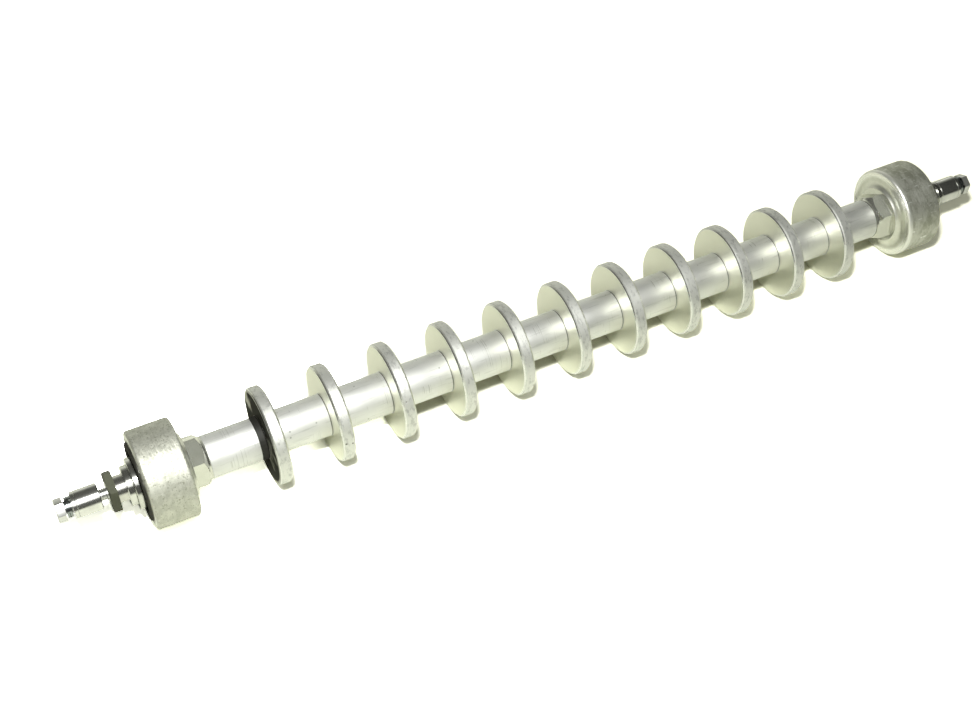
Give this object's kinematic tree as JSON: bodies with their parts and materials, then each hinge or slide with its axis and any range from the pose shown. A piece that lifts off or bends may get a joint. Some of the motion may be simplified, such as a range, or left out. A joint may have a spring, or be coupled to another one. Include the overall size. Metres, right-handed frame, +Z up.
{
  "type": "lawn mower front roller",
  "caption": "Grooved front roller for a lawn mower: narrow aluminium discs on a tube between two cast end drums, turning on a fixed shaft with bolted ends.",
  "frame": {"origin": "on the roller's axis, half way between the outer faces of the two bolt heads", "axes": "+X along the axis towards the end without the lock nut, +Z up, with the roller lying level"},
  "size_m": [0.6762, 0.0634, 0.0636],
  "materials": {
    "cast_aluminium": "sand cast, rough",
    "turned_aluminium": "turned, satin",
    "steel_tube": "drawn tube",
    "ground_shaft": "ground",
    "polished_sleeve": "polished",
    "plated_steel": "bright zinc plated",
    "bearing_steel": "ground",
    "cage_polymer": "moulded",
    "seal_rubber": "matt",
    "black_screw": "blackened steel"
  },
  "bodies": {
    "fixed_shaft": {"shaft": "ground_shaft", "lock_nut": "plated_steel", "retaining_ring": "plated_steel", "bearing_inner_ring_left": "bearing_steel", "wear_sleeve_left": "ground_shaft", "shield_washer_left": "plated_steel", "clamp_collar_left": "plated_steel", "grub_screw_left": "black_screw", "end_sleeve_left": "polished_sleeve", "flat_washer_left": "plated_steel", "spring_washer_left": "plated_steel", "end_bolt_left": "plated_steel", "bearing_inner_ring_right": "bearing_steel", "wear_sleeve_right": "ground_shaft", "shield_washer_right": "plated_steel", "clamp_collar_right": "plated_steel", "grub_screw_right": "black_screw", "end_sleeve_right": "polished_sleeve", "flat_washer_right": "plated_steel", "spring_washer_right": "plated_steel", "end_bolt_right": "plated_steel"},
    "roller": {"segment_01": "turned_aluminium", "segment_02": "turned_aluminium", "segment_03": "turned_aluminium", "segment_04": "turned_aluminium", "segment_05": "turned_aluminium", "segment_06": "turned_aluminium", "segment_07": "turned_aluminium", "segment_08": "turned_aluminium", "segment_09": "turned_aluminium", "segment_10": "turned_aluminium", "segment_11": "turned_aluminium", "spacer_tube": "turned_aluminium", "core_tube": "steel_tube", "drum_left": "cast_aluminium", "bearing_outer_ring_left": "bearing_steel", "snap_ring_left": "black_screw", "shaft_seal_left": "seal_rubber", "drum_right": "cast_aluminium", "bearing_outer_ring_right": "bearing_steel", "snap_ring_right": "black_screw", "shaft_seal_right": "seal_rubber"},
    "left_cage": {"bearing_cage_left": "cage_polymer", "bearing_balls_left": "bearing_steel"},
    "right_cage": {"bearing_cage_right": "cage_polymer", "bearing_balls_right": "bearing_steel"}
  },
  "joints": [
    {"name": "roller_spin", "type": "hinge", "parent": "fixed_shaft", "child": "roller", "pos_m": [0, 0, 0], "axis": [1, 0, 0], "continuous": true},
    {"name": "left_cage_spin", "type": "hinge", "parent": "fixed_shaft", "child": "left_cage", "pos_m": [-0.271, 0, 0], "axis": [1, 0, 0], "continuous": true},
    {"name": "right_cage_spin", "type": "hinge", "parent": "fixed_shaft", "child": "right_cage", "pos_m": [0.274, 0, 0], "axis": [1, 0, 0], "continuous": true}
  ],
  "couplings": [
    {"joint": "left_cage_spin", "follows": "roller_spin", "ratio": 0.6182},
    {"joint": "right_cage_spin", "follows": "roller_spin", "ratio": 0.6182}
  ]
}
